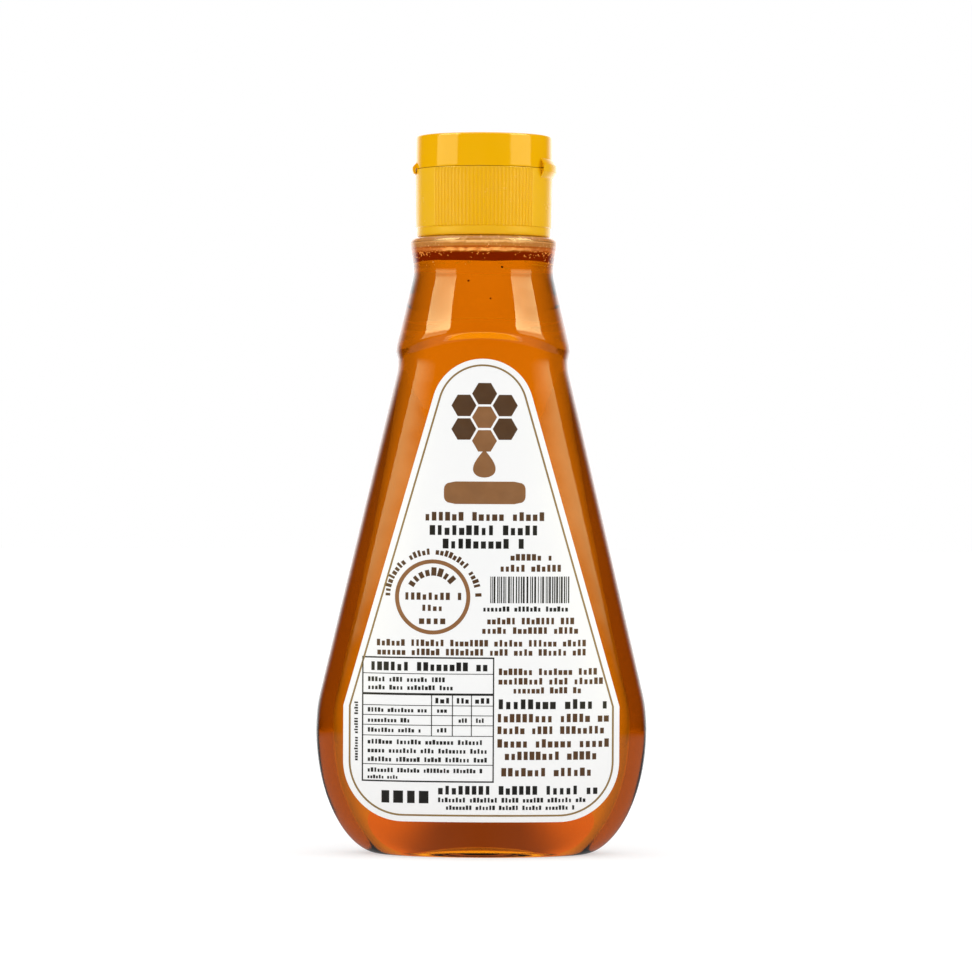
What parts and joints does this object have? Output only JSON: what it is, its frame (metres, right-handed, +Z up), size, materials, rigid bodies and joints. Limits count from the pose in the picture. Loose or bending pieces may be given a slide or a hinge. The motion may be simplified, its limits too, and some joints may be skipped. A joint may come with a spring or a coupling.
{
  "type": "honey squeeze bottle",
  "caption": "Clear tapered squeeze bottle of honey with a flattened body, arched ridge over a label panel, collar, and a ribbed screw cap with a hinged flip-top lid and plug pin.",
  "frame": {"origin": "centre of the foot ring, on the surface that the bottle stands on", "axes": "+Z up along the neck; the label faces -Y; the lid's hinge is at +X and its thumb tab at -X"},
  "size_m": [0.0926, 0.0445, 0.2],
  "materials": {
    "clear_plastic": "gloss",
    "honey_amber": "gloss",
    "label_film": "satin",
    "yellow_plastic": "satin",
    "liner_foam": "matte"
  },
  "bodies": {
    "bottle": {"bottle": "clear_plastic", "honey": "honey_amber", "front_label": "label_film"},
    "seal": {"sealing_ring": "liner_foam"},
    "cap": {"cap_base": "yellow_plastic", "hinge_film": "yellow_plastic"},
    "lid": {"lid": "yellow_plastic"}
  },
  "joints": [
    {"name": "cap_rise", "type": "slide", "parent": "bottle", "child": "seal", "axis": [0, 0, 1], "range_m": [0, 0.006]},
    {"name": "cap_unscrew", "type": "hinge", "parent": "seal", "child": "cap", "pos_m": [0, 0, 0.1725], "axis": [0, 0, 1], "range_deg": [0, 540]},
    {"name": "lid_hinge", "type": "hinge", "parent": "cap", "child": "lid", "pos_m": [0.02022, 0, 0.19065], "axis": [0, 1, 0], "range_deg": [0, 135]}
  ],
  "couplings": [
    {"joint": "cap_rise", "follows": "cap_unscrew", "m_per_rad": 0.0006366}
  ]
}
